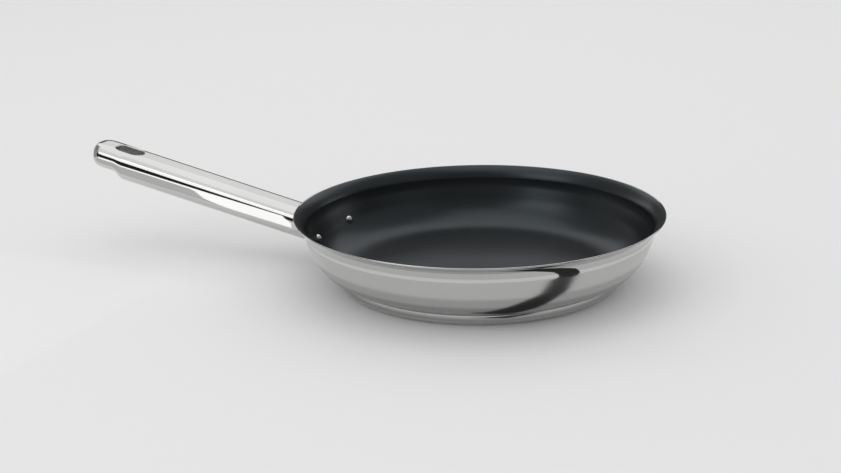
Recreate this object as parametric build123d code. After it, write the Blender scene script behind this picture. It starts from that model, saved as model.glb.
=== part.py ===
from build123d import *
from math import acos, asin, cos, degrees, radians, sin, sqrt, tan
import os

# Omelette pan. Millimetres, +Z up. The origin is the centre of the foot's flat face, on the worktop,
# and the handle points along -X and rises.

# Bowl: one sheet of steel, drawn with a curved side, a neck crease and a flared pouring rim
rim_radius = 120.0        # outermost edge of the rim
pan_height = 46.0         # worktop to the top of the rim
bowl_sheet = 1.0          # thickness of the steel
side_lean = 20.7          # lean of the straight side from upright, degrees
side_fillet = 30.0        # outer radius between the floor and the side
flare_radius = 12.0       # radius of the hollow under the rim
flare_start_lean = 2.0    # lean of the flare where it leaves the neck, degrees
flare_end_lean = 62.0     # lean of the flare at the rim's edge, degrees

# Coating: a dark layer all over the inside, which ends short of the rim's edge
coating_thickness = 0.2
bare_rim = 1.0            # width of bare steel left at the rim

# Base: an aluminium disc sealed in a steel capsule under the bowl
core_thickness = 4.6
cap_sheet = 0.6
cap_overhang = 10.6       # how far the capsule reaches past the edge of the bowl's flat floor
cap_edge_radius = 4.6     # rounding between the capsule's side and its flat foot

# Handle: a hollow steel handle of two welded half shells, with an open end at the rim
handle_rise = 11.8        # slope of the handle, degrees
handle_drop = 21.3        # how far the handle's centre line is below the rim, above the rim's edge
handle_length = 175.4     # rim's edge to the tip, along the centre line
handle_sheet = 1.0
root_width = 27.0
root_height = 19.2
end_width = 28.6          # at the start of the rounded tip, if the underside had no step
end_height = 20.2
handle_corner = 8.0       # rounding along the handle's edges
rim_gap = 1.0             # clearance between the rim and the top of the handle's open end
tip_length = 12.0         # length of the rounded tip
tip_power = 3.4           # 2 would be an ellipse, more is squarer
tip_level_share = 0.85    # 0 closes the tip evenly from above and below, 1 keeps its top level
step_rise = 4.2           # how much the underside steps up near the tip
step_length = 8.0
step_to_tip = 19.6        # from the outer end of the step to the tip

# Hanging slot near the tip, lined with a steel wall
slot_length = 21.4
slot_width = 12.0
slot_to_tip = 14.1        # from the slot's outer end to the tip
liner_sheet = 1.0

# Bracket: a flange on the wall, a neck under the rim, and a plug pressed into the handle
flange_sheet = 2.0
flange_height = 15.0
flange_margin = 5.0       # from a rivet's centre to the end of the flange
neck_width = 15.0
neck_height = 10.0
plug_length = 20.0
plug_depth = 8.0          # how deep the plug starts inside the handle's open end
plug_clearance = 0.1

# Rivets: two, through the coating, the bowl and the flange
rivet_pitch = 46.6
rivet_height = 23.2       # above the worktop, on the inside of the bowl
rivet_shank = 4.0
rivet_head = 6.0
rivet_head_rise = 1.8

overrun = 10.0            # how far cutting shapes run past what they cut

# Lofted shapes: places along the rounded tip, and along the step, as shares of its length
tip_shares = (0.0, 0.25, 0.45, 0.62, 0.76, 0.87, 0.94, 0.98, 0.996)
step_shares = (0.0, 0.2, 0.4, 0.6, 0.8, 1.0)
corner_share = 0.98       # most that a section's corners may take of its half height


def uphill(lean):
    """Direction up a wall in the radius-height plane, leaning outward from upright by so many degrees."""
    return Vector(sin(radians(lean)), 0, cos(radians(lean)))


def outward(lean):
    """Direction out of the bowl, square to a wall with that lean."""
    return Vector(cos(radians(lean)), 0, -sin(radians(lean)))


# Centres of the profile's two arcs. The rim's edge is round and touches rim_radius and pan_height.
rim_edge = Vector(rim_radius - bowl_sheet / 2, 0, pan_height - bowl_sheet / 2)
flare_centre = rim_edge + outward(flare_end_lean) * (flare_radius + bowl_sheet / 2)
neck = flare_centre - outward(flare_start_lean) * flare_radius
floor_height = cap_sheet + core_thickness
fillet_height = floor_height + side_fillet
side_foot = fillet_height - side_fillet * sin(radians(side_lean))
fillet_reach = neck.X - (neck.Z - side_foot) * tan(radians(side_lean)) - side_fillet * cos(radians(side_lean))
fillet_centre = Vector(fillet_reach, 0, fillet_height)
cap_radius = fillet_centre.X + cap_overhang


def neck_corner(inset):
    """Where the side meets the flare, on the surface that lies inset inside the bowl's outer surface."""
    bend = radians(side_lean - flare_start_lean)
    across = flare_radius * sin(bend)
    back = across - sqrt(across ** 2 + 2 * flare_radius * inset * (1 - cos(bend)))
    return neck - outward(side_lean) * inset + uphill(side_lean) * back


def flare_lean(corner, inset):
    """Lean of the flare at a point of it."""
    return degrees(acos((flare_centre.X - corner.X) / (flare_radius + inset)))


def arc_round(centre, radius, start_lean, end_lean, sign):
    """Arc of the profile: sign 1 for the convex fillet, -1 for the hollow flare."""
    ends = [centre + outward(lean) * radius * sign for lean in (start_lean, (start_lean + end_lean) / 2, end_lean)]
    return ThreePointArc(*ends)


def profile(inset, end_lean):
    """Edges from the axis over the floor, side and flare, inset inside the bowl's outer surface."""
    corner = neck_corner(inset)
    fillet = arc_round(fillet_centre, side_fillet - inset, 90.0, side_lean, 1)
    flare = arc_round(flare_centre, flare_radius + inset, flare_lean(corner, inset), end_lean, -1)
    floor = Line((0, 0, floor_height + inset), fillet @ 0)
    side = Line(fillet @ 1, corner)
    return [floor, fillet, side, flare]


def turned(edges):
    """Closed outline in the radius-height plane, turned about the axis."""
    return revolve(make_face(Wire(edges)), Axis.Z, 360)


def layer(outer_inset, inner_inset, end_lean, rim_end):
    """Turned wall between two insets. rim_end closes it at the rim."""
    outer = profile(outer_inset, end_lean)
    inner = profile(inner_inset, end_lean)
    close_axis = Line(inner[0] @ 0, outer[0] @ 0)
    return turned(outer + [rim_end(outer[-1] @ 1, inner[-1] @ 1)] + inner + [close_axis])


def filled(inset):
    """Everything inside one surface of the bowl, up to the neck, as a solid."""
    floor, fillet, side, _ = profile(inset, flare_end_lean)
    lid = Line(side @ 1, (0, 0, (side @ 1).Z))
    return turned([floor, fillet, side, lid, Line(lid @ 1, floor @ 0)])


def side_at(height, inset):
    """Radius and lean of the side at a height, on the surface that lies inset inside."""
    foot = side_foot + inset * sin(radians(side_lean))
    if height >= foot:
        top = neck_corner(inset)
        return top.X - (top.Z - height) * tan(radians(side_lean)), side_lean
    lean = degrees(asin((fillet_height - height) / (side_fillet - inset)))
    return fillet_centre.X + (side_fillet - inset) * cos(radians(lean)), lean


# Handle's own frame: along the handle from the rim's edge, sideways along Y, and square to both
along = Vector(-cos(radians(handle_rise)), 0, sin(radians(handle_rise)))
above = Vector(sin(radians(handle_rise)), 0, cos(radians(handle_rise)))
handle_start = Vector(-rim_radius, 0, pan_height - handle_drop)
end_start = (rim_gap + root_height / 2 * sin(radians(handle_rise))) / cos(radians(handle_rise))
tip_start = handle_length - tip_length
step_end = handle_length - step_to_tip
step_start = step_end - step_length


def handle_plane(distance, lift=0.0):
    """Plane across the handle at a distance from the rim's edge."""
    return Plane(origin=handle_start + along * distance + above * lift, x_dir=(0, 1, 0), z_dir=along)


def handle_section(distance, inset, rise=0.0, scale=1.0):
    """Rounded section across the handle, with its underside raised by rise, and shrunk by scale in the tip."""
    share = distance / handle_length
    width = root_width + (end_width - root_width) * share - 2 * inset
    height = root_height + (end_height - root_height) * share - 2 * inset - rise
    corner = (handle_corner - inset) * scale
    limit = min(width, height) * scale / 2
    outline = RectangleRounded(width * scale, height * scale, min(corner, limit * corner_share))
    lift = (rise + height * (1 - scale) * tip_level_share) / 2
    return handle_plane(distance, lift) * outline


def handle_solid(inset):
    """The handle's outer shape, or its cavity where inset is the thickness of the steel."""
    straight = loft([handle_section(-overrun * 2, inset), handle_section(step_start, inset)], ruled=True)
    ease = [(1 - cos(radians(180.0 * share))) / 2 for share in step_shares]
    steps = [
        handle_section(step_start + step_length * share, inset, step_rise * rise)
        for share, rise in zip(step_shares, ease)
    ]
    tips = [
        handle_section(
            tip_start + (tip_length - inset) * share,
            inset,
            step_rise,
            (1 - share ** tip_power) ** (1 / tip_power),
        )
        for share in tip_shares
    ]
    return straight + loft(steps) + loft([steps[-1], tips[0]], ruled=True) + loft(tips)


def slot_prism(margin):
    """Upright prism of the hanging slot, larger all round by margin."""
    middle = handle_length - slot_to_tip - slot_length / 2
    origin = handle_start + along * middle - above * (end_height + overrun)
    outline = SlotOverall(slot_length + 2 * margin, slot_width + 2 * margin)
    return extrude(Plane(origin=origin, x_dir=along, z_dir=above) * outline, 2 * (end_height + overrun))


def stack_frame(side):
    """Location of a rivet's seat on the coating, with Z out of the bowl. side is 1 or -1."""
    radius, lean = side_at(rivet_height, bowl_sheet + coating_thickness)
    turn = degrees(asin(rivet_pitch / 2 / radius))
    seat = Plane(origin=(radius, 0, rivet_height), x_dir=(0, 1, 0), z_dir=outward(lean))
    return Rot(0, 0, 180.0 + side * turn) * seat.location


def rivet_holes():
    """Shank-sized holes through everything that the two rivets clamp."""
    drill = Cylinder(rivet_shank / 2, 2 * overrun)
    return [stack_frame(side) * drill for side in (-1, 1)]


def dome():
    """A rivet's domed head, with a short root that is cut back to the surface it sits on."""
    radius = rivet_head / 2
    ball = (radius ** 2 + rivet_head_rise ** 2) / (2 * rivet_head_rise)
    half = acos((ball - rivet_head_rise) / ball) / 2
    crown = Vector(0, 0, rivet_head_rise)
    middle = Vector(ball * sin(half), 0, ball * cos(half) + rivet_head_rise - ball)
    rim = Vector(radius, 0, 0)
    root = Vector(radius, 0, -rivet_head_rise / 2)
    foot = Vector(0, 0, root.Z)
    outline = [ThreePointArc(crown, middle, rim), Line(rim, root), Line(root, foot), Line(foot, crown)]
    return turned(outline)


def capsule(inset):
    """The base up to the bowl, inset inside its outer surface."""
    bend = Vector(cap_radius - cap_edge_radius, 0, cap_edge_radius)
    reach = cap_edge_radius - inset
    arc = ThreePointArc(bend - Vector(0, 0, reach), bend + outward(45.0) * reach, bend + Vector(reach, 0, 0))
    top = Line((cap_radius - inset, 0, side_foot), (0, 0, side_foot))
    edges = [Line((0, 0, inset), arc @ 0), arc, Line(arc @ 1, top @ 0), top, Line(top @ 1, (0, 0, inset))]
    return turned(edges) - filled(0)


def round_rim(outer_end, inner_end):
    """Rounded edge of the steel at the rim."""
    crest = rim_edge + uphill(flare_end_lean) * bowl_sheet / 2
    return ThreePointArc(outer_end, crest, inner_end)


def pan_body():
    bowl = layer(0, bowl_sheet, flare_end_lean, round_rim)
    return bowl - rivet_holes()


def nonstick_coating():
    edge_lean = degrees(acos((flare_centre.X - rim_radius + bare_rim) / (flare_radius + bowl_sheet)))
    skin = layer(bowl_sheet, bowl_sheet + coating_thickness, edge_lean, Line)
    return skin - rivet_holes()


def base_core():
    return capsule(cap_sheet)


def base_cap():
    return capsule(0) - capsule(cap_sheet)


def handle_bracket():
    stack = stack_frame(1) * Pos(0, 0, bowl_sheet + coating_thickness + flange_sheet / 2)
    length = rivet_pitch + 2 * flange_margin
    plate = Plane(origin=(0, 0, stack.position.Z), x_dir=(0, 1, 0), z_dir=(-1, 0, 0))
    window = extrude(plate * SlotOverall(length, flange_height), rim_radius + overrun)
    flange = (filled(-flange_sheet) & window) - filled(0)
    plug_start = end_start + plug_depth
    neck_outline = handle_plane(-overrun * 2) * Rectangle(neck_width, neck_height)
    neck_bar = extrude(neck_outline, plug_start + overrun * 2) - filled(0)
    fit = handle_sheet + plug_clearance
    plug = loft([handle_section(plug_start, fit), handle_section(plug_start + plug_length, fit)], ruled=True)
    return flange + neck_bar + plug - rivet_holes()


def handle_rivets():
    clamped = bowl_sheet + coating_thickness + flange_sheet
    space = filled(bowl_sheet + coating_thickness)
    back = filled(-flange_sheet)
    rivets = []
    for side in (-1, 1):
        frame = stack_frame(side)
        inner_head = (frame * Rot(180, 0, 0) * dome()) & space
        outer_head = (frame * Pos(0, 0, clamped) * dome()) - back
        shank = frame * Pos(0, 0, clamped / 2) * Cylinder(rivet_shank / 2, clamped + rivet_head_rise)
        rivets.append(inner_head + outer_head + shank)
    return Compound(children=rivets)


def handle_tube():
    """Both half shells in one, cut at the slot's liner and at the rim, whose curve the open end follows."""
    reach = rim_radius + rim_gap
    upright = Plane(origin=handle_start + along * (end_start - reach), x_dir=along, z_dir=above)
    rim_clearance = upright * Cylinder(reach, 4 * pan_height)
    return handle_solid(0) - handle_solid(handle_sheet) - rim_clearance - slot_prism(liner_sheet)


def hang_slot_liner():
    return (slot_prism(liner_sheet) - slot_prism(0)) & handle_solid(0)


seam = Plane(origin=handle_start, x_dir=along, z_dir=above)
tube = handle_tube()
parts = {
    "pan_body": pan_body(),
    "nonstick_coating": nonstick_coating(),
    "base_core": base_core(),
    "base_cap": base_cap(),
    "handle_bracket": handle_bracket(),
    "handle_rivets": handle_rivets(),
    "handle_upper_shell": split(tube, seam, Keep.TOP),
    "handle_lower_shell": split(tube, seam, Keep.BOTTOM),
    "hang_slot_liner": hang_slot_liner(),
}

os.makedirs("parts", exist_ok=True)
for name, shape in parts.items():
    export_step(shape, "parts/" + name + ".step")
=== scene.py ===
from math import acos, asin, cos, degrees, pi, radians, sin, sqrt, tan

import bpy
from mathutils import Matrix, Vector


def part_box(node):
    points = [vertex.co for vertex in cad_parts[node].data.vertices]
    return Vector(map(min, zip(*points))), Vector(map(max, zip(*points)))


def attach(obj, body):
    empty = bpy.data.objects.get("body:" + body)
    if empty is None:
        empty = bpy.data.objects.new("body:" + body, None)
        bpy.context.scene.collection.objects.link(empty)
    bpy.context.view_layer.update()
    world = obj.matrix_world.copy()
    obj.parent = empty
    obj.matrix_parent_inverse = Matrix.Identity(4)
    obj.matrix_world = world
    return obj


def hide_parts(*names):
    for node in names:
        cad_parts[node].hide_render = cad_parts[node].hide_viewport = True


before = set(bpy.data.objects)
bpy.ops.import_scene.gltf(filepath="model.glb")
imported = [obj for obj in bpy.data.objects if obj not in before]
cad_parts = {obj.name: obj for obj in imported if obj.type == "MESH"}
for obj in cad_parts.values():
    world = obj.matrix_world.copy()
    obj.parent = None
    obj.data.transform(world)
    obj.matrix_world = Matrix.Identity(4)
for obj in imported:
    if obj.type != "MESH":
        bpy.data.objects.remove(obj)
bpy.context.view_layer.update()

# Pan body. One disc of stainless steel is pressed into curved sides, a neck crease and a flared pouring
# rim with a rounded edge. Its outside is polished on a lathe, which leaves very fine rings.
mm = 0.001
turn_steps = 256
bowl_sheet = 1.0 * mm
side_lean = 20.7
side_fillet = 30.0 * mm
flare_radius = 12.0 * mm
flare_start_lean = 2.0
flare_end_lean = 62.0
crease_width = 1.1 * mm
fillet_steps = 24
flare_steps = 20
rim_steps = 8
support = 1.5 * mm  # how far extra points stand from a corner, so that the flats beside it shade flat
weld_distance = mm / 1000
rim_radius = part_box("pan_body")[1].x
pan_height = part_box("pan_body")[1].z
floor_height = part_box("pan_body")[0].z


def outward(lean):
    """Direction out of the bowl, as radius and height, square to a wall with a lean in degrees."""
    return Vector((cos(radians(lean)), -sin(radians(lean))))


def uphill(lean):
    """Direction up such a wall, as radius and height."""
    return Vector((sin(radians(lean)), cos(radians(lean))))


rim_edge = Vector((rim_radius - bowl_sheet / 2, pan_height - bowl_sheet / 2))
flare_centre = rim_edge + outward(flare_end_lean) * (flare_radius + bowl_sheet / 2)
neck = flare_centre - outward(flare_start_lean) * flare_radius
fillet_height = floor_height + side_fillet
side_foot = fillet_height - side_fillet * sin(radians(side_lean))
side_run = (neck.y - side_foot) * tan(radians(side_lean))
fillet_centre = Vector((neck.x - side_run - side_fillet * cos(radians(side_lean)), fillet_height))


def neck_corner(inset):
    """Where the side meets the flare, on the surface that lies inset inside the bowl's outer surface."""
    bend = radians(side_lean - flare_start_lean)
    across = flare_radius * sin(bend)
    back = across - sqrt(across ** 2 + 2 * flare_radius * inset * (1 - cos(bend)))
    return neck - outward(side_lean) * inset + uphill(side_lean) * back


def flare_lean_at(radius, inset):
    """Lean of the flare at a distance from the pan's axis."""
    return degrees(acos((flare_centre.x - radius) / (flare_radius + inset)))


def arc(centre, radius, start_lean, end_lean, steps):
    """Points round an arc from one lean to another. A negative radius makes it a hollow one."""
    leans = [start_lean + (end_lean - start_lean) * step / steps for step in range(steps + 1)]
    return [centre + outward(lean) * radius for lean in leans]


def bowl_fillet(inset):
    """The round between the floor and the side, inset inside the bowl's outer surface."""
    return arc(fillet_centre, side_fillet - inset, 90.0, side_lean, fillet_steps)


def bowl_line(inset, end_lean):
    """The bowl's profile from the axis to the rim, inset inside its outer surface."""
    fillet = bowl_fillet(inset)
    corner = neck_corner(inset)
    floor = [Vector((0, floor_height + inset)), fillet[0] - Vector((support, 0))]
    side = [fillet[-1] + uphill(side_lean) * support, corner - uphill(side_lean) * support]
    start_lean = flare_lean_at(corner.x, inset)
    flare = arc(flare_centre, -flare_radius - inset, start_lean, end_lean, flare_steps)
    return floor + fillet + side + flare


def select_only(piece):
    """Deselects everything but one piece, and makes it the active one."""
    bpy.ops.object.select_all(action="DESELECT")
    piece.select_set(True)
    bpy.context.view_layer.objects.active = piece


def traced(name, points):
    """A new piece in edit mode: a plane drawn together to one point, then extruded from point to point."""
    bpy.ops.object.select_all(action="DESELECT")
    bpy.ops.mesh.primitive_plane_add(size=mm, location=points[0])
    piece = bpy.context.object
    piece.name = name
    bpy.ops.object.transform_apply(location=True)
    bpy.ops.object.mode_set(mode="EDIT")
    bpy.ops.mesh.merge(type="CENTER")
    for here, there in zip(points, points[1:]):
        bpy.ops.mesh.extrude_vertices_move(TRANSFORM_OT_translate={"value": there - here})
    bpy.ops.mesh.select_all(action="SELECT")
    return piece


def turned(name, outline, steps=turn_steps):
    """A solid of revolution, spun from an outline of radii and heights that starts and ends on the axis."""
    piece = traced(name, [Vector((point.x, 0, point.y)) for point in outline])
    bpy.ops.mesh.spin(steps=steps, angle=2 * pi, center=(0, 0, 0), axis=(0, 0, 1))
    bpy.ops.mesh.select_all(action="SELECT")
    bpy.ops.mesh.remove_doubles(threshold=weld_distance)
    bpy.ops.mesh.normals_make_consistent(inside=False)
    bpy.ops.object.mode_set(mode="OBJECT")
    return piece


def pick(piece, wanted):
    """Selects the points of a piece that are wanted for their place, and leaves it in edit mode."""
    select_only(piece)
    bpy.ops.object.mode_set(mode="EDIT")
    bpy.ops.mesh.select_all(action="DESELECT")
    bpy.ops.object.mode_set(mode="OBJECT")
    for point in piece.data.vertices:
        point.select = wanted(point.co)
    bpy.ops.object.mode_set(mode="EDIT")


def round_ring(piece, corner, width, segments):
    """Bevels the ring of edges at one corner of a turned piece's profile."""
    near = 10 * weld_distance
    pick(piece, lambda place: (Vector((place.xy.length, place.z)) - corner).length < near)
    bpy.ops.mesh.bevel(offset=width, segments=segments, affect="EDGES")
    bpy.ops.object.mode_set(mode="OBJECT")


def smooth(piece, angle=35.0):
    """Shades a piece smooth, apart from edges that turn by more than an angle."""
    select_only(piece)
    bpy.ops.object.shade_smooth_by_angle(angle=radians(angle))


def fit(piece, node, finish):
    """Gives a piece its finish, and puts it in the place of a CAD node."""
    piece.data.materials.clear()
    piece.data.materials.append(finish)
    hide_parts(node)
    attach(piece, "root")


def new_finish(name):
    """A new material, with its node tree and its shader."""
    finish = bpy.data.materials.new(name)
    finish.use_nodes = True
    tree = finish.node_tree
    return finish, tree, tree.nodes["Principled BSDF"]


def add(tree, kind, sockets=(), **settings):
    """A new node of a material, with its settings, and with values or links for its sockets."""
    made = tree.nodes.new(kind)
    for name, value in settings.items():
        setattr(made, name, value)
    for name, value in sockets:
        if isinstance(value, bpy.types.NodeSocket):
            tree.links.new(value, made.inputs[name])
        else:
            made.inputs[name].default_value = value
    return made


noise_low = 0.3
noise_high = 0.7
fine_detail = 3.0
cloud_detail = 4.0
steel_cloud_scale = 28.0
steel_dark = (0.63, 0.625, 0.615, 1)
steel_pale = (0.68, 0.68, 0.675, 1)
shiniest_share = 0.8
dullest_share = 1.25
ring_drift = 1.5
ring_strength = 0.5


def lathe_rings(tree, width, drift):
    """Noise in rings about the pan's axis, from 0 to 1.

    A ring has a width, and the drift says how fast it changes on its way round.
    """
    place = add(tree, "ShaderNodeTexCoord").outputs["Object"]
    parts = add(tree, "ShaderNodeSeparateXYZ", [("Vector", place)])
    flat = add(tree, "ShaderNodeCombineXYZ", [("X", parts.outputs["X"]), ("Y", parts.outputs["Y"])])
    reach = add(tree, "ShaderNodeVectorMath", [(0, flat.outputs[0])], operation="LENGTH")
    bearing = add(tree, "ShaderNodeVectorMath", [(0, flat.outputs[0])], operation="NORMALIZE").outputs[0]
    spread = add(tree, "ShaderNodeVectorMath", [(0, bearing), ("Scale", drift)], operation="SCALE")
    climb_parts = [(0, parts.outputs["Z"]), (1, reach.outputs["Value"])]
    climb = add(tree, "ShaderNodeMath", climb_parts, operation="ADD")
    steps = add(tree, "ShaderNodeMath", [(0, climb.outputs[0]), (1, 1 / width)], operation="MULTIPLY")
    lift = add(tree, "ShaderNodeCombineXYZ", [("Z", steps.outputs[0])])
    where_parts = [(0, spread.outputs[0]), (1, lift.outputs[0])]
    where = add(tree, "ShaderNodeVectorMath", where_parts, operation="ADD")
    noise = add(tree, "ShaderNodeTexNoise", [
        ("Vector", where.outputs[0]), ("Scale", 1.0), ("Detail", fine_detail)])
    return noise.outputs["Fac"]


def polished_steel(name, roughness, ring_width, ring_height):
    """Stainless steel with fine rings, and faint clouds in its gloss."""
    finish, tree, shader = new_finish(name)
    rings = lathe_rings(tree, ring_width, ring_drift)
    place = add(tree, "ShaderNodeTexCoord").outputs["Object"]
    clouds = add(tree, "ShaderNodeTexNoise", [
        ("Vector", place), ("Scale", steel_cloud_scale), ("Detail", cloud_detail)])
    shine = add(tree, "ShaderNodeMix", [("Factor", 0.5), (2, rings), (3, clouds.outputs["Fac"])])
    gloss = add(tree, "ShaderNodeMapRange", [
        ("Value", shine.outputs[0]), ("From Min", noise_low), ("From Max", noise_high),
        ("To Min", roughness * shiniest_share), ("To Max", roughness * dullest_share)])
    tint_parts = [("Factor", clouds.outputs["Fac"]), ("A", steel_dark), ("B", steel_pale)]
    tint = add(tree, "ShaderNodeMix", tint_parts, data_type="RGBA")
    bump = add(tree, "ShaderNodeBump", [
        ("Height", rings), ("Strength", ring_strength), ("Distance", ring_height)])
    tree.links.new(tint.outputs[2], shader.inputs["Base Color"])
    tree.links.new(gloss.outputs[0], shader.inputs["Roughness"])
    tree.links.new(bump.outputs[0], shader.inputs["Normal"])
    shader.inputs["Metallic"].default_value = 1.0
    return finish


def shinier_above(finish, height, blend, share):
    """Lets the roughness of a finish fall to a share of itself above a height."""
    tree = finish.node_tree
    shader = tree.nodes["Principled BSDF"]
    gloss = shader.inputs["Roughness"].links[0].from_socket
    place = add(tree, "ShaderNodeTexCoord").outputs["Object"]
    parts = add(tree, "ShaderNodeSeparateXYZ", [("Vector", place)])
    fall = add(tree, "ShaderNodeMapRange", [
        ("Value", parts.outputs["Z"]), ("From Min", height - blend), ("From Max", height + blend),
        ("To Min", 1.0), ("To Max", share)])
    product = add(tree, "ShaderNodeMath", [(0, gloss), (1, fall.outputs[0])], operation="MULTIPLY")
    tree.links.new(product.outputs[0], shader.inputs["Roughness"])
    return finish


rim_gloss_share = 0.25
rim_round = arc(rim_edge, bowl_sheet / 2, flare_end_lean, flare_end_lean - 180.0, rim_steps)[1:-1]
outside = bowl_line(0, flare_end_lean)
inside = bowl_line(bowl_sheet, flare_end_lean)
bowl = turned("bowl", outside + rim_round + inside[::-1])
round_ring(bowl, neck_corner(0), crease_width, segments=5)
smooth(bowl)
bowl_steel = polished_steel(
    "polished bowl steel", roughness=0.21, ring_width=0.35 * mm, ring_height=0.003 * mm)
bowl_steel = shinier_above(bowl_steel, neck.y, crease_width, rim_gloss_share)
fit(bowl, "pan_body", bowl_steel)

# Coating. The whole inside carries a sprayed and baked dark layer, satin to the eye. It thins out on the
# flare just short of the rim's edge, where the steel stays bare.
coating_thickness = 0.2 * mm
bare_rim = 1.0 * mm
coating_crease = 3 * crease_width
coating_dark = (0.007, 0.0076, 0.0080, 1)
coating_pale = (0.010, 0.0109, 0.0115, 1)
coating_sheen_tint = (0.80, 0.92, 1.0, 1)
coating_sheen_level = 0.65
coating_shiniest = 0.27
coating_dullest = 0.33
coating_cloud_scale = 22.0
grain_scale = 2200.0
grain_strength = 0.35
grain_height = 0.005 * mm
coating_inset = bowl_sheet + coating_thickness
coating_end = flare_lean_at(rim_radius - bare_rim, bowl_sheet)


def nonstick(name):
    """Dark satin coating with a fine grain, and a trace of blue in its sheen."""
    finish, tree, shader = new_finish(name)
    place = add(tree, "ShaderNodeTexCoord").outputs["Object"]
    grain = add(tree, "ShaderNodeTexNoise", [
        ("Vector", place), ("Scale", grain_scale), ("Detail", fine_detail)])
    clouds = add(tree, "ShaderNodeTexNoise", [
        ("Vector", place), ("Scale", coating_cloud_scale), ("Detail", cloud_detail)])
    tint_parts = [("Factor", clouds.outputs["Fac"]), ("A", coating_dark), ("B", coating_pale)]
    tint = add(tree, "ShaderNodeMix", tint_parts, data_type="RGBA")
    gloss = add(tree, "ShaderNodeMapRange", [
        ("Value", clouds.outputs["Fac"]), ("From Min", noise_low), ("From Max", noise_high),
        ("To Min", coating_shiniest), ("To Max", coating_dullest)])
    bump = add(tree, "ShaderNodeBump", [
        ("Height", grain.outputs["Fac"]), ("Strength", grain_strength), ("Distance", grain_height)])
    tree.links.new(tint.outputs[2], shader.inputs["Base Color"])
    tree.links.new(gloss.outputs[0], shader.inputs["Roughness"])
    tree.links.new(bump.outputs[0], shader.inputs["Normal"])
    shader.inputs["Specular Tint"].default_value = coating_sheen_tint
    shader.inputs["Specular IOR Level"].default_value = coating_sheen_level
    return finish


under_face = bowl_line(bowl_sheet, coating_end)
upper_face = bowl_line(coating_inset, coating_end)
coating = turned("coating", under_face + upper_face[::-1])
round_ring(coating, neck_corner(coating_inset), coating_crease, segments=6)
smooth(coating)
fit(coating, "nonstick_coating", nonstick("dark satin coating"))

# Base core. A thick disc of rolled aluminium spreads the heat. It is pressed between the bowl and the
# steel capsule, which hides it all round.
rolling_scale = (60.0, 2500.0, 60.0)
aluminium_dark = (0.70, 0.71, 0.72, 1)
aluminium_pale = (0.80, 0.81, 0.82, 1)
aluminium_shiniest = 0.28
aluminium_dullest = 0.46
core_finish, tree, shader = new_finish("rolled aluminium")
place = add(tree, "ShaderNodeTexCoord").outputs["Object"]
grain = add(tree, "ShaderNodeMapping", [("Vector", place), ("Scale", rolling_scale)])
streaks = add(tree, "ShaderNodeTexNoise", [
    ("Vector", grain.outputs[0]), ("Scale", 1.0), ("Detail", fine_detail)])
gloss = add(tree, "ShaderNodeMapRange", [
    ("Value", streaks.outputs["Fac"]), ("To Min", aluminium_shiniest), ("To Max", aluminium_dullest)])
tint_parts = [("Factor", streaks.outputs["Fac"]), ("A", aluminium_dark), ("B", aluminium_pale)]
tint = add(tree, "ShaderNodeMix", tint_parts, data_type="RGBA")
tree.links.new(tint.outputs[2], shader.inputs["Base Color"])
tree.links.new(gloss.outputs[0], shader.inputs["Roughness"])
shader.inputs["Metallic"].default_value = 1.0
base_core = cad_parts["base_core"]
for place_of_finish in base_core.material_slots:
    place_of_finish.material = core_finish

# Base capsule. A shallow steel cup holds the core and is pressed against the bowl, with a rounded lower
# edge. Its flat foot is ground on a lathe, in rings that show more than those on the bowl.
cap_sheet = 0.6 * mm
cap_edge_radius = 4.6 * mm
cap_lip = 0.25 * mm
cap_edge_steps = 12
cap_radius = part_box("base_cap")[1].x


def bowl_height_at(radius):
    """Height of the bowl's outer surface over the worktop, on its fillet."""
    return fillet_height - sqrt(side_fillet ** 2 - (radius - fillet_centre.x) ** 2)


def cap_line(inset):
    """The capsule's profile from the axis to its lip, inset inside its outer surface."""
    bend = Vector((cap_radius - cap_edge_radius, cap_edge_radius))
    edge = arc(bend, cap_edge_radius - inset, 90.0, 0.0, cap_edge_steps)
    lip = Vector((cap_radius - inset, bowl_height_at(cap_radius - inset)))
    return [Vector((0, inset)), edge[0] - Vector((support, 0))] + edge + [lip]


capsule = turned("capsule", cap_line(0) + cap_line(cap_sheet)[::-1])
round_ring(capsule, cap_line(0)[-1], cap_lip, segments=3)
smooth(capsule)
capsule_steel = polished_steel(
    "ground capsule steel", roughness=0.16, ring_width=0.5 * mm, ring_height=0.01 * mm)
fit(capsule, "base_cap", capsule_steel)

# Bracket. A steel casting holds the handle: its curved flange lies on the bowl under the rim, a short neck
# rises from it, and a plug at the neck's end is pressed into the hollow handle.
handle_rise = 11.8
handle_drop = 21.3 * mm
handle_sheet = 1.0 * mm
handle_corner = 8.0 * mm
root_width = 27.0 * mm
root_height = 19.2 * mm
end_width = 28.6 * mm
end_height = 20.2 * mm
rim_gap = 1.0 * mm
flange_sheet = 2.0 * mm
flange_height = 15.0 * mm
flange_margin = 5.0 * mm
flange_turn = 20.0
flange_turn_steps = 48
flange_first_point = 8  # where on the bowl's round the flange's blank begins, before it is cut out
flange_edge = 0.5 * mm
neck_width = 15.0 * mm
neck_height = 10.0 * mm
neck_edge = 1.5 * mm
plug_depth = 8.0 * mm
plug_length = 20.0 * mm
plug_clearance = 0.1 * mm
rivet_pitch = 46.6 * mm
rivet_height = 23.2 * mm
overrun = 10.0 * mm  # how far a blank or a cutter reaches past the piece
end_flat = support / 100  # what a round end keeps of its flat, so that its two corners stay apart
handle_start = Vector((-rim_radius, 0, pan_height - handle_drop))
rivet_lean = degrees(asin((fillet_height - rivet_height) / (side_fillet - coating_inset)))
rivet_reach = fillet_centre.x + (side_fillet - coating_inset) * cos(radians(rivet_lean))


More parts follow.
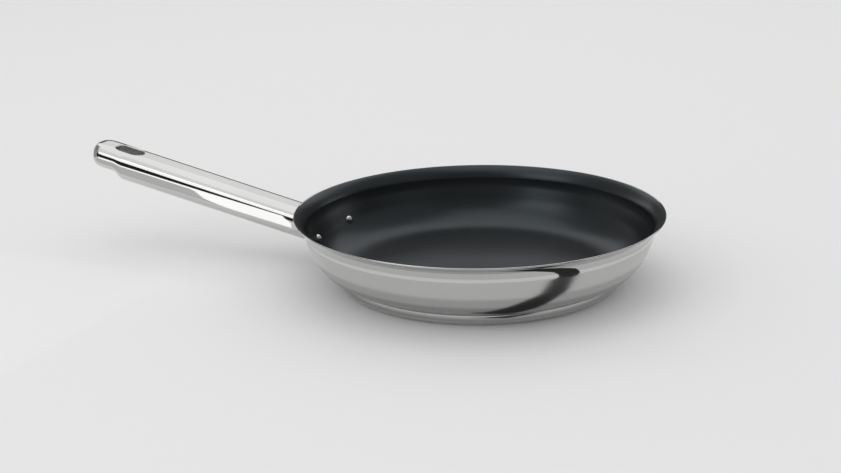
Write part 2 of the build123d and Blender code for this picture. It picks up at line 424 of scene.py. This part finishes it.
def corners(width, height, radius, steps):
    """Points (sideways, up) round a rectangle with rounded corners, and with a few points on its flats."""
    points = []
    for quarter, (side, top) in enumerate([(1, 1), (-1, 1), (-1, -1), (1, -1)]):
        middle = Vector((side * (width / 2 - radius), top * (height / 2 - radius)))
        turns = [radians(90.0 * (quarter + step / steps)) for step in range(steps + 1)]
        points += [middle + Vector((cos(turn), sin(turn))) * radius for turn in turns]
    flats = {}
    for index, point in enumerate(points):
        following = points[(index + 1) % len(points)]
        if (following - point).length > 2 * support:
            run = (following - point).normalized() * support
            flats[index] = [point + run, point.lerp(following, 0.5), following - run]
    return [place for index, point in enumerate(points) for place in [point, *flats.get(index, [])]]


def prism(name, outline, move):
    """A solid: a closed outline is filled in, and extruded by a move."""
    piece = traced(name, outline)
    bpy.ops.mesh.edge_face_add()
    bpy.ops.mesh.extrude_region_move(TRANSFORM_OT_translate={"value": move})
    bpy.ops.mesh.select_all(action="SELECT")
    bpy.ops.mesh.normals_make_consistent(inside=False)
    bpy.ops.object.mode_set(mode="OBJECT")
    return piece


def apply(piece, kind, **settings):
    """Adds a modifier to a piece and applies it."""
    select_only(piece)
    modifier = piece.modifiers.new(kind.lower(), kind)
    for name, value in settings.items():
        setattr(modifier, name, value)
    bpy.ops.object.modifier_apply(modifier=modifier.name)


def combine(piece, other, operation):
    """Joins, cuts or crosses a piece with another, which is used up."""
    apply(piece, "BOOLEAN", operation=operation, solver="EXACT", object=other)
    bpy.data.objects.remove(other)


def round_edges(piece, width, segments=3, angle=40.0):
    """Bevels every edge of a piece that turns by more than an angle."""
    limit = radians(angle)
    apply(piece, "BEVEL", width=width, segments=segments, limit_method="ANGLE", angle_limit=limit)


def onto_handle(piece):
    """Turns a piece that was made along -X from the origin onto the handle's rising line."""
    select_only(piece)
    piece.rotation_euler = (0, radians(handle_rise), 0)
    piece.location = handle_start
    bpy.ops.object.transform_apply(location=True, rotation=True)


def flange_line(inset):
    """The part of the bowl's profile that the flange can lie on."""
    return bowl_fillet(inset)[flange_first_point:] + [neck_corner(inset)]


band = flange_line(0) + flange_line(-flange_sheet)[::-1]
bracket = traced("bracket", [Vector((point.x, 0, point.y)) for point in band])
bpy.ops.mesh.edge_face_add()
bpy.ops.mesh.spin(
    steps=flange_turn_steps, angle=radians(2 * flange_turn), center=(0, 0, 0), axis=(0, 0, 1))
bpy.ops.mesh.select_all(action="SELECT")
bpy.ops.mesh.normals_make_consistent(inside=False)
bpy.ops.object.mode_set(mode="OBJECT")
bracket.rotation_euler.z = pi + radians(flange_turn)
bpy.ops.object.transform_apply(rotation=True)
flange_length = rivet_pitch + 2 * flange_margin
flange_outline = [
    Vector((-rim_radius, point.x, point.y + rivet_height))
    for point in corners(flange_length, flange_height, flange_height / 2 - end_flat, steps=16)
]
combine(bracket, prism("window", flange_outline, Vector((rim_radius / 2, 0, 0))), "INTERSECT")
round_edges(bracket, flange_edge)

bar_start = 2 * overrun
end_start = (rim_gap + root_height / 2 * sin(radians(handle_rise))) / cos(radians(handle_rise))
plug_start = end_start + plug_depth
bar_outline = [
    Vector((bar_start, *point)) for point in corners(neck_width, neck_height, neck_edge, steps=4)]
bar = prism("bar", bar_outline, Vector((-bar_start - plug_start - plug_length / 2, 0, 0)))
onto_handle(bar)
core = [point for point in outside if point.y <= neck.y]
combine(bar, turned("core", core + [Vector((0, core[-1].y))]), "DIFFERENCE")
combine(bracket, bar, "UNION")
plug_fit = 2 * (handle_sheet + plug_clearance)
plug_width = root_width - plug_fit
plug_height = root_height - plug_fit
plug_corner = handle_corner - plug_fit / 2
plug_outline = [
    Vector((-plug_start, *point)) for point in corners(plug_width, plug_height, plug_corner, steps=8)]
plug = prism("plug", plug_outline, Vector((-plug_length, 0, 0)))
round_edges(plug, flange_edge)
onto_handle(plug)
combine(bracket, plug, "UNION")
smooth(bracket)
bracket_steel = polished_steel(
    "satin bracket steel", roughness=0.28, ring_width=0.6 * mm, ring_height=0.006 * mm)
fit(bracket, "handle_bracket", bracket_steel)

# Rivets. Two steel rivets clamp the coating, the bowl and the flange, each with a domed head inside the
# bowl and another behind the flange. They sit square to the sloping wall.
rivet_shank = 4.0 * mm
rivet_head = 6.0 * mm
rivet_head_rise = 1.8 * mm
rivet_root = 0.5 * mm
rivet_steps = 48
dome_steps = 10
clamped = coating_inset + flange_sheet


def rivet_dome():
    """Points (radius, height) of a domed head, from its edge to its crown."""
    ball = ((rivet_head / 2) ** 2 + rivet_head_rise ** 2) / (2 * rivet_head_rise)
    half = asin(rivet_head / 2 / ball)
    turns = [half * step / dome_steps for step in range(dome_steps + 1)][::-1]
    return [Vector((ball * sin(turn), ball * cos(turn) + rivet_head_rise - ball)) for turn in turns]


dome = rivet_dome()
head = [Vector((rivet_shank / 2, -rivet_root)), Vector((rivet_head / 2, -rivet_root))] + dome
outer_half = [Vector((point.x, clamped + point.y)) for point in head]
inner_half = [Vector((point.x, -point.y)) for point in head]
rivets = turned("rivets", inner_half[::-1] + outer_half, steps=rivet_steps)
second = rivets.copy()
second.data = rivets.data.copy()
bpy.context.scene.collection.objects.link(second)
for rivet, side in ((rivets, -1), (second, 1)):
    swing = pi + side * asin(rivet_pitch / 2 / rivet_reach)
    rivet.rotation_euler = (0, radians(90.0 + rivet_lean), swing)
    rivet.location = (rivet_reach * cos(swing), rivet_reach * sin(swing), rivet_height)
bpy.ops.object.select_all(action="DESELECT")
second.select_set(True)
rivets.select_set(True)
bpy.context.view_layer.objects.active = rivets
bpy.ops.object.transform_apply(location=True, rotation=True)
bpy.ops.object.join()
smooth(rivets)
rivet_steel = polished_steel(
    "turned rivet steel", roughness=0.15, ring_width=0.6 * mm, ring_height=0.004 * mm)
fit(rivets, "handle_rivets", rivet_steel)

# Handle shells. The hollow handle is pressed as two halves of steel sheet, welded along the sides and
# polished. It has a rounded tip, a step under the tip, and an open end with a hollow curve at the rim.
handle_length = 175.4 * mm
tip_length = 12.0 * mm
tip_power = 3.4  # how square the tip's round is, where 2 makes a plain ellipse
tip_level_share = 0.85  # how level the top stays as the tip closes: 0 is towards its middle, 1 is level
tip_rings = 16
step_rings = 14
straight_rings = 16
step_rise = 4.2 * mm
step_length = 8.0 * mm
step_to_tip = 19.6 * mm
slot_length = 21.4 * mm
slot_width = 12.0 * mm
slot_to_tip = 14.1 * mm
liner_sheet = 1.0 * mm
cut_edge = 0.25 * mm
tip_start = handle_length - tip_length
step_end = handle_length - step_to_tip
step_start = step_end - step_length
slot_middle = handle_length - slot_to_tip - slot_length / 2


def handle_size(distance):
    """Width and height of the handle at a distance from the rim, before the step and the tip."""
    share = distance / handle_length
    width = root_width + (end_width - root_width) * share
    height = root_height + (end_height - root_height) * share
    return width, height


def step_at(distance):
    """How far the underside has stepped up at a distance from the rim."""
    share = min(max((distance - step_start) / step_length, 0.0), 1.0)
    return step_rise * (1 - cos(pi * share)) / 2


def handle_stations():
    """Distance from the rim, and the share that the rounded tip leaves of the section, for every ring."""
    first = -2 * overrun
    run = step_start - first
    straight = [first + run * ring / straight_rings for ring in range(straight_rings)]
    steps = [step_start + step_length * ring / step_rings for ring in range(step_rings + 1)]
    level = [(step_end + tip_start) / 2, tip_start]
    found = [(distance, 1.0) for distance in straight + steps + level]
    for ring in range(1, tip_rings + 1):
        quarter = radians(90.0 * ring / tip_rings)
        share = sin(quarter) ** (2 / tip_power)
        found.append((tip_start + tip_length * share, max(cos(quarter), 0.0) ** (2 / tip_power)))
    return found


stations = handle_stations()
first_width, first_height = handle_size(stations[0][0])
first_section = corners(first_width, first_height, handle_corner, steps=14)
first_ring = [Vector((-stations[0][0], *point)) for point in first_section]
tube = traced("tube", first_ring + first_ring[:1])
bpy.ops.mesh.remove_doubles(threshold=weld_distance)
last_distance, last_width, last_height, last_lift = (stations[0][0], first_width, first_height, 0.0)
for distance, share in stations[1:]:
    full_width, full_height = handle_size(distance)
    rise = step_at(distance)
    width = full_width * share
    height = (full_height - rise) * share
    lift = (rise + (full_height - rise) * (1 - share) * tip_level_share) / 2
    move = (last_distance - distance, 0, lift - last_lift)
    bpy.ops.mesh.extrude_edges_move(TRANSFORM_OT_translate={"value": move})
    growth = (1, width / last_width, height / last_height)
    bpy.ops.transform.resize(value=growth, center_override=(-distance, 0, lift))
    last_distance, last_width, last_height, last_lift = (distance, width, height, lift)
bpy.ops.mesh.merge(type="CENTER")
bpy.ops.mesh.select_all(action="SELECT")
bpy.ops.mesh.normals_make_consistent(inside=False)
bpy.ops.object.mode_set(mode="OBJECT")
apply(tube, "SOLIDIFY", thickness=handle_sheet, offset=-1.0, use_even_offset=True)

rim_reach = rim_radius + rim_gap
bpy.ops.object.select_all(action="DESELECT")
cylinder_place = (rim_reach - end_start, 0, 0)
bpy.ops.mesh.primitive_cylinder_add(
    vertices=turn_steps, radius=rim_reach, depth=4 * pan_height, location=cylinder_place)
combine(tube, bpy.context.object, "DIFFERENCE")
round_edges(tube, cut_edge, segments=2)
onto_handle(tube)


def slot_prism(name, sheet, top):
    """A block from under the handle up to a height, with the slot's outline grown by a sheet."""
    length = slot_length + 2 * sheet
    width = slot_width + 2 * sheet
    outline = corners(length, width, width / 2 - end_flat, steps=20)
    start = Vector((-slot_middle, 0, -end_height))
    return prism(name, [start + point.to_3d() for point in outline], Vector((0, 0, top + end_height)))


slot_cutter = slot_prism("slot_cutter", liner_sheet, end_height)
onto_handle(slot_cutter)
combine(tube, slot_cutter, "DIFFERENCE")
lower = tube.copy()
lower.data = tube.data.copy()
bpy.context.scene.collection.objects.link(lower)
shell_steel = polished_steel(
    "polished handle steel", roughness=0.07, ring_width=0.35 * mm, ring_height=0.002 * mm)
for shell, name, other_side in ((tube, "upper_shell", -1), (lower, "lower_shell", 1)):
    shell.name = name
    bpy.ops.object.select_all(action="DESELECT")
    middle = (-handle_length / 2, 0, other_side * handle_length)
    bpy.ops.mesh.primitive_cube_add(size=2 * handle_length, location=middle)
    half = bpy.context.object
    bpy.ops.object.transform_apply(location=True)
    onto_handle(half)
    combine(shell, half, "DIFFERENCE")
    smooth(shell)
    fit(shell, "handle_" + name, shell_steel)

# Slot liner. A short tube of steel goes through the handle near its tip, so that the pan can hang from a
# hook. It is welded in flush, and its mouth is rounded over and polished.
slot_lip = 0.8 * mm
bore_reach = slot_width / 2 + liner_sheet / 2


def slot_reach(place):
    """Distance of a place from the slot's middle line, which ends where its round ends begin."""
    along = max(abs(place.x + slot_middle) - (slot_length - slot_width) / 2, 0.0)
    return sqrt(along ** 2 + place.y ** 2)


liner_top = handle_size(slot_middle)[1] / 2
liner = slot_prism("slot_liner", liner_sheet, liner_top)
combine(liner, slot_prism("slot_hole", 0, end_height), "DIFFERENCE")
underside = [
    Vector((-distance, end_width, step_at(distance) - handle_size(distance)[1] / 2))
    for distance, share in stations if share == 1.0 and distance > 0
]
below = [Vector((underside[-1].x - overrun, end_width, underside[-1].z))]
deep = -2 * end_height
far_below = [Vector((place.x, end_width, deep)) for place in (below[0], underside[0])]
cutter = prism("cutter", underside + below + far_below, Vector((0, -2 * end_width, 0)))
combine(liner, cutter, "DIFFERENCE")
for mouth in (1, -1):
    pick(liner, lambda place: place.z * mouth > 0 and slot_reach(place) < bore_reach)
    bpy.ops.mesh.bevel(offset=slot_lip, segments=4, affect="EDGES")
    bpy.ops.object.mode_set(mode="OBJECT")
onto_handle(liner)
smooth(liner)
liner_steel = polished_steel(
    "satin slot steel", roughness=0.32, ring_width=0.6 * mm, ring_height=0.004 * mm)
fit(liner, "hang_slot_liner", liner_steel)

# Camera. It stands in front of the pan, to the right and a little above, where the photo's camera stood.
# Its turn, tilt and roll are in degrees, and its distance and shift in rim radii.
camera_turn = 23.6
camera_tilt = 17.06
camera_roll = -1.17
camera_distance = 8.091
camera_shift = Vector((0.3149, 0.1400))
focal_pixels = 1500.0
picture_width = 841.0

turn, tilt, roll = (radians(angle) for angle in (camera_turn, camera_tilt, camera_roll))
level_right = Vector((cos(turn), sin(turn), 0))
level_up = Vector((-sin(turn) * sin(tilt), cos(turn) * sin(tilt), cos(tilt)))
ahead = Vector((-sin(turn) * cos(tilt), cos(turn) * cos(tilt), -sin(tilt)))
right = level_right * cos(roll) + level_up * sin(roll)
up = level_up * cos(roll) - level_right * sin(roll)
from_eye = right * camera_shift.x + up * camera_shift.y + ahead * camera_distance
eye = Vector((0, 0, pan_height)) - from_eye * rim_radius
lens = bpy.data.cameras.new("camera")
lens.sensor_width = 36.0
lens.lens = focal_pixels / picture_width * lens.sensor_width
camera = bpy.data.objects.new("camera", lens)
bpy.context.scene.collection.objects.link(camera)
camera.matrix_world = Matrix.Translation(eye) @ Matrix((right, up, -ahead)).transposed().to_4x4()
bpy.context.scene.camera = camera

# Floor and room. A wide matt floor carries the pan and its shadow, and an even pale world stands for the
# walls and the ceiling of the room.
floor_radius = 12.0
floor_grey = 0.78
floor_roughness = 0.9
room_grey = 0.92
bpy.ops.object.select_all(action="DESELECT")
bpy.ops.mesh.primitive_circle_add(vertices=64, radius=floor_radius, fill_type="NGON")
floor = bpy.context.object
floor.name = "floor"
floor_finish, tree, shader = new_finish("pale floor")
shader.inputs["Base Color"].default_value = (floor_grey, floor_grey, floor_grey, 1)
shader.inputs["Roughness"].default_value = floor_roughness
floor.data.materials.append(floor_finish)

world = bpy.data.worlds.new("pale room")
world.use_nodes = True
world.node_tree.nodes["Background"].inputs["Color"].default_value = (room_grey, room_grey, room_grey, 1)
bpy.context.scene.world = world
bpy.context.scene.view_settings.view_transform = "Standard"

# Lamps. A large dim soft box hangs high behind the pan on the left. A smaller and brighter one stands in
# front on the left, and draws the white line along the handle.


def toward(bearing, rise):
    """Direction with a bearing and a rise in degrees. Bearings run from the front towards the right."""
    level = cos(radians(rise))
    return Vector((sin(radians(bearing)) * level, -cos(radians(bearing)) * level, sin(radians(rise))))


def soft_lamp(name, bearing, rise, distance, width, height, level):
    """A soft box that faces the pan and shines evenly, where a level of 1 is white."""
    box = bpy.data.lights.new(name, "AREA")
    box.shape = "RECTANGLE"
    box.size = width
    box.size_y = height
    box.energy = pi * level * width * height
    lamp = bpy.data.objects.new(name, box)
    bpy.context.scene.collection.objects.link(lamp)
    lamp.location = toward(bearing, rise) * distance
    lamp.rotation_euler = toward(bearing, rise).to_track_quat("Z", "Y").to_euler()


soft_lamp("overhead", bearing=-156, rise=62, distance=1.6, width=1.5, height=2.2, level=0.2)
soft_lamp("front_left", bearing=-32, rise=36, distance=1.9, width=1.0, height=0.75, level=1.1)

# Flags. Curved black and grey sheets stand round the pan, as in a studio for polished things. They glow
# evenly and show in reflections only, as painted light, where they draw the dark lines and the soft greys
# on the steel and the coating.
flag_steps = 24


def glow_for_reflections(name, grey):
    """Gives a flag or card an even grey glow of painted light, and hides it from all but reflections."""
    flag = bpy.context.object
    flag.name = name
    reflection_glow, tree, shader = new_finish(name + " cloth")
    shader.inputs["Base Color"].default_value = (0, 0, 0, 1)
    shader.inputs["Roughness"].default_value = 1.0
    # The flag's grey is an even glow, painted light that only reflections see.
    shader.inputs["Emission Color"].default_value = (grey, grey, grey, 1)
    shader.inputs["Emission Strength"].default_value = 1.0
    flag.data.materials.append(reflection_glow)
    flag.visible_camera = False
    flag.visible_diffuse = False
    flag.visible_transmission = False
    flag.visible_shadow = False


def curved_flag(name, first, last, low, high, distance, grey):
    """A flag at a distance round the pan, from one bearing to another, between two angles of rise."""
    start = toward(first, 0) * distance
    heights = [distance * tan(radians(angle)) for angle in (low, high)]
    traced(name, [start + Vector((0, 0, height)) for height in heights])
    bpy.ops.mesh.spin(steps=flag_steps, angle=-radians(last - first), center=(0, 0, 0), axis=(0, 0, 1))
    bpy.ops.object.mode_set(mode="OBJECT")
    glow_for_reflections(name, grey)


curved_flag("room", first=-66, last=130, low=0, high=24, distance=0.65, grey=0.01)
curved_flag("room_low_left", first=-110, last=-66, low=0, high=24, distance=0.65, grey=0.35)
curved_flag("room_above", first=-66, last=-4, low=20, high=44, distance=3.0, grey=0.3)
curved_flag("room_right", first=-4, last=60, low=20, high=62, distance=3.0, grey=0.18)
curved_flag("room_far_right", first=60, last=150, low=15, high=76, distance=3.0, grey=0.3)
curved_flag("room_left", first=-125, last=-66, low=15, high=57, distance=3.0, grey=0.25)
curved_flag("room_back", first=150, last=230, low=0, high=22, distance=3.0, grey=0.06)

# Cards. Three rings of glowing grey lie round the foot, darker nearer the pan, as painted shade of the
# floor, so that the bowl's wall mirrors less of the pale floor. A near black sheet in front paints the dark
# mark and the streak on the bowl.
# A grey glowing card darkens the floor that the handle's side mirrors, and a white one, brighter than
# white, paints a white wedge there. Only reflections see them.
card_height = 0.5 * mm
dark_mark_height = 5.0 * mm
white_glow_side = -59.0 * mm
shade_ring_radii = [93.0 * mm, 103.0 * mm, 118.0 * mm, 150.0 * mm]


def shade_ring_card(name, inner, outer, grey):
    """A flat ring of painted floor shade round the pan, from one radius to another."""
    traced(name, [Vector((radius, 0, card_height)) for radius in (inner, outer)])
    bpy.ops.mesh.spin(steps=turn_steps, angle=2 * pi, center=(0, 0, 0), axis=(0, 0, 1))
    bpy.ops.object.mode_set(mode="OBJECT")
    glow_for_reflections(name, grey)


def flat_card(name, outline, grey):
    """A flat flag or card of glowing grey, filled in between the points of its outline."""
    traced(name, outline)
    bpy.ops.mesh.edge_face_add()
    bpy.ops.object.mode_set(mode="OBJECT")
    glow_for_reflections(name, grey)


# The three rings glow darker nearer the foot: painted shade of the floor, seen only in the bowl's
# reflections.
shade_ring_card("near_floor_shade", shade_ring_radii[0], shade_ring_radii[1], grey=0.24)
shade_ring_card("middle_floor_shade", shade_ring_radii[1], shade_ring_radii[2], grey=0.38)
shade_ring_card("far_floor_shade", shade_ring_radii[2], shade_ring_radii[3], grey=0.55)
# A near black sheet that only reflections see paints the dark mark and the streak on the bowl's wall.
bar_line = [
    (28, -93), (39, -90), (72, -88), (103, -84), (125, -90), (148, -100), (160, -98),
    (168, -86), (166, -74), (150, -68), (114, -64), (89, -70), (66, -73), (50, -78)]
bar_points = [Vector((x * mm, y * mm, dark_mark_height)) for x, y in bar_line]
flat_card("dark_mark_sheet", bar_points, grey=0.02)
# A grey glowing sheet that only reflections see paints a darker floor in the handle's lower side.
grey_line = [(-190, -62), (-190, -300), (-520, -300), (-520, -62)]
grey_points = [Vector((x * mm, y * mm, card_height)) for x, y in grey_line]
flat_card("grey_glow_card", grey_points, grey=0.58)
# A white sheet glows brighter than white, painted light that only reflections see: it paints the white
# wedge in the handle's side.
white_line = [(-155, 48), (-217, 48), (-327, 56), (-327, 50), (-235, 38), (-217, 1), (-155, 1)]
white_points = [Vector((x * mm, white_glow_side, z * mm)) for x, z in white_line]
flat_card("white_glow_card", white_points, grey=1.45)
